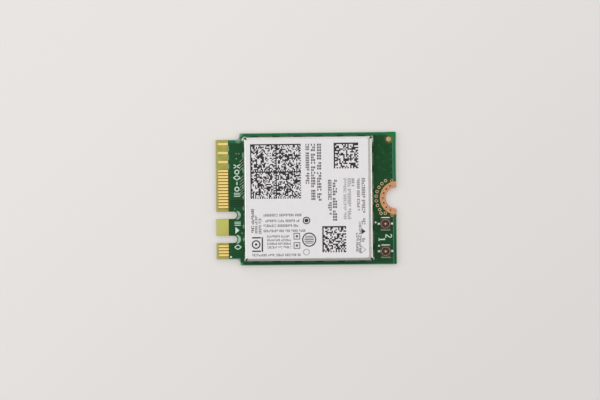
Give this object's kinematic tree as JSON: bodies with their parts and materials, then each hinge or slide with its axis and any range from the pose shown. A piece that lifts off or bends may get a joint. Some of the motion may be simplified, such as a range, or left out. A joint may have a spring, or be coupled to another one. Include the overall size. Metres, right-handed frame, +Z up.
{
  "type": "laptop wifi card",
  "caption": "Small plug-in wireless board with a keyed card edge, a folded shield can under a label, coax antenna jacks and a half-round screw notch.",
  "frame": {"origin": "under the middle of the board, on its lower face", "axes": "+X from the card edge to the screw notch, +Y towards the highest contact number, +Z up through the shield can"},
  "size_m": [0.03, 0.022, 0.0022],
  "materials": {
    "laminate": "satin",
    "green_coat": "satin gloss",
    "gold_contacts": "polished gold plating",
    "bare_copper": "satin copper with a clear preservative",
    "tinned_lands": "satin tin",
    "solder": "satin solder",
    "can_sheet": "satin nickel silver",
    "label_film": "matt",
    "label_ink": "matt",
    "white_marks": "matt",
    "jack_metal": "polished plating",
    "jack_moulding": "matt",
    "chip_moulding": "matt",
    "chip_ceramic": "matt",
    "crystal_metal": "satin",
    "chip_terminals": "satin tin"
  },
  "bodies": {
    "root": {"circuit_board": "laminate", "solder_mask_top": "green_coat", "solder_mask_bottom": "green_coat", "contact_fingers_top": "gold_contacts", "contact_fingers_bottom": "gold_contacts", "screw_notch_plating": "bare_copper", "stitching_vias": "bare_copper", "fiducial_mark": "gold_contacts", "test_pads": "bare_copper", "component_pads": "tinned_lands", "shield_ground_pads": "tinned_lands", "shield_can": "can_sheet", "shield_solder": "solder", "label": "label_film", "label_print": "label_ink", "silkscreen_marks": "white_marks", "antenna_jack_solder": "solder", "crystal_base": "chip_ceramic", "crystal_lid": "crystal_metal", "radio_chip": "chip_moulding", "radio_chip_leads": "chip_terminals", "memory_chip": "chip_moulding", "memory_chip_leads": "chip_terminals", "regulator_chip": "chip_moulding", "regulator_chip_leads": "chip_terminals", "power_inductor": "chip_moulding", "power_inductor_terminals": "chip_terminals", "capacitor_bodies": "chip_ceramic", "capacitor_terminals": "chip_terminals", "resistor_bodies": "chip_moulding", "resistor_terminals": "chip_terminals", "antenna_jack_1_shell": "jack_metal", "antenna_jack_1_housing": "jack_moulding", "antenna_jack_1_contact": "jack_metal", "front_end_module_1": "chip_moulding", "front_end_module_1_leads": "chip_terminals", "diplexer_1": "chip_ceramic", "diplexer_1_terminals": "chip_terminals", "antenna_jack_2_shell": "jack_metal", "antenna_jack_2_housing": "jack_moulding", "antenna_jack_2_contact": "jack_metal", "front_end_module_2": "chip_moulding", "front_end_module_2_leads": "chip_terminals", "diplexer_2": "chip_ceramic", "diplexer_2_terminals": "chip_terminals"}
  },
  "joints": []
}
